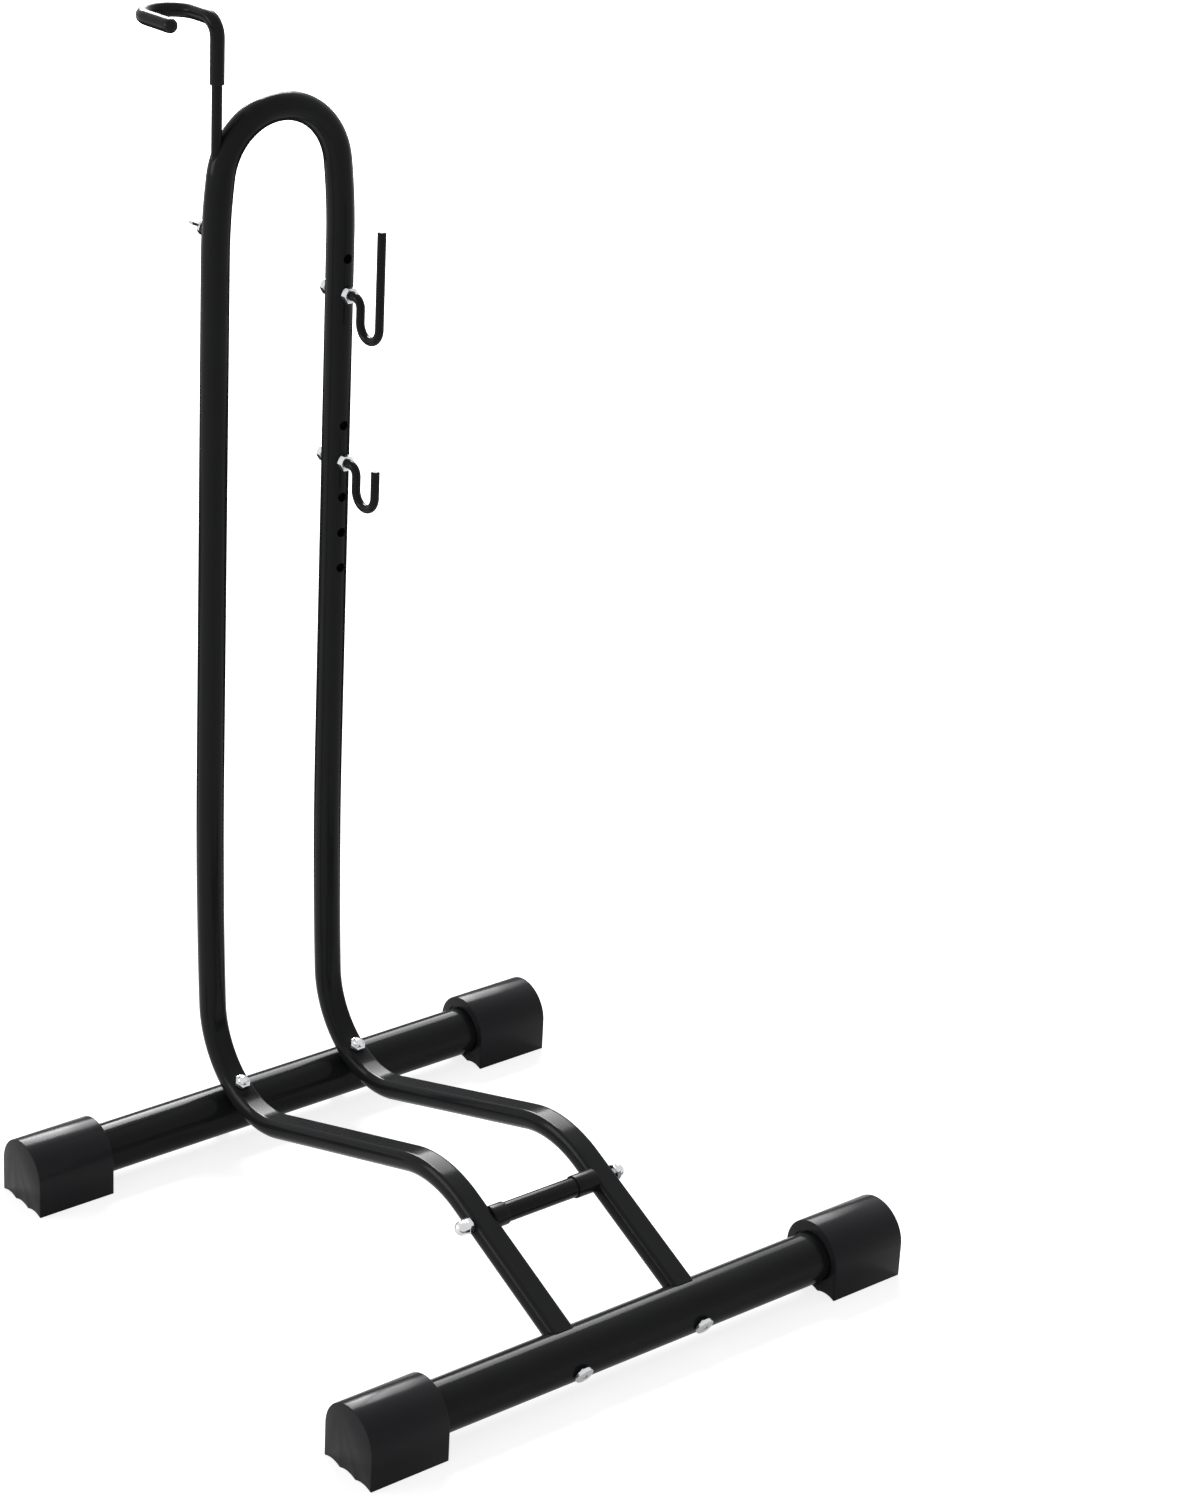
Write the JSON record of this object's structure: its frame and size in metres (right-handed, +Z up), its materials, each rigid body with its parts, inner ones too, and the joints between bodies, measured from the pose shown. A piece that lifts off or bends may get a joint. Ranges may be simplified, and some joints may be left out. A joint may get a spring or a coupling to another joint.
{
  "type": "vertical bike stand",
  "caption": "Floor stand that holds a bicycle upright by its rear wheel: bent tube frame on two crossbars with feet, J-hooks on one leg and a sliding top hook clamped in the other.",
  "frame": {"origin": "on the floor, under the middle of the stand's overall box", "axes": "+Z up, -Y towards the front crossbar where the wheel rolls in, +X towards the leg that carries the J-hooks"},
  "size_m": [0.4348, 0.4728, 0.7915],
  "materials": {
    "powder_coat": "satin black powder coat on steel, fine orange peel",
    "foot_rubber": "satin black moulded rubber",
    "vinyl": "satin black soft vinyl",
    "zinc": "bright zinc plated steel"
  },
  "bodies": {
    "stand": {"frame_tube": "powder_coat", "front_crossbar": "powder_coat", "rear_crossbar": "powder_coat", "foot_front_left": "foot_rubber", "foot_front_right": "foot_rubber", "foot_rear_left": "foot_rubber", "foot_rear_right": "foot_rubber", "front_screw_left": "zinc", "front_screw_right": "zinc", "leg_plug_left": "zinc", "leg_plug_right": "zinc", "rear_bolt_left": "zinc", "rear_bolt_right": "zinc", "rear_cap_nut_left": "zinc", "rear_cap_nut_right": "zinc", "spacer_tube": "powder_coat", "spacer_stud": "zinc", "spacer_sleeve_left": "vinyl", "spacer_sleeve_right": "vinyl", "spacer_cap_nut_left": "zinc", "spacer_cap_nut_right": "zinc", "long_hook_front_nut": "zinc", "long_hook_rear_nut": "zinc", "short_hook_front_nut": "zinc", "short_hook_rear_nut": "zinc", "clamp_boss": "powder_coat"},
    "top_hook": {"sliding_rod": "powder_coat", "rod_cover": "vinyl"},
    "long_hook": {"long_hook": "powder_coat"},
    "short_hook": {"short_hook": "powder_coat"},
    "wing_screw": {"wing_screw": "zinc"}
  },
  "joints": [
    {"name": "top_hook_slide", "type": "slide", "parent": "stand", "child": "top_hook", "axis": [0, 0, 1], "range_m": [-0.03, 0.12]},
    {"name": "wing_screw_turn", "type": "hinge", "parent": "stand", "child": "wing_screw", "pos_m": [-0.04917, 0.2, 0.6494], "axis": [0, 1, 0], "range_deg": [0, 1080]},
    {"name": "long_hook_turn", "type": "hinge", "parent": "stand", "child": "long_hook", "pos_m": [0.04954, 0.18876, 0.5956], "axis": [0, 1, 0], "continuous": true},
    {"name": "short_hook_turn", "type": "hinge", "parent": "stand", "child": "short_hook", "pos_m": [0.04954, 0.18876, 0.4789], "axis": [0, 1, 0], "continuous": true}
  ]
}
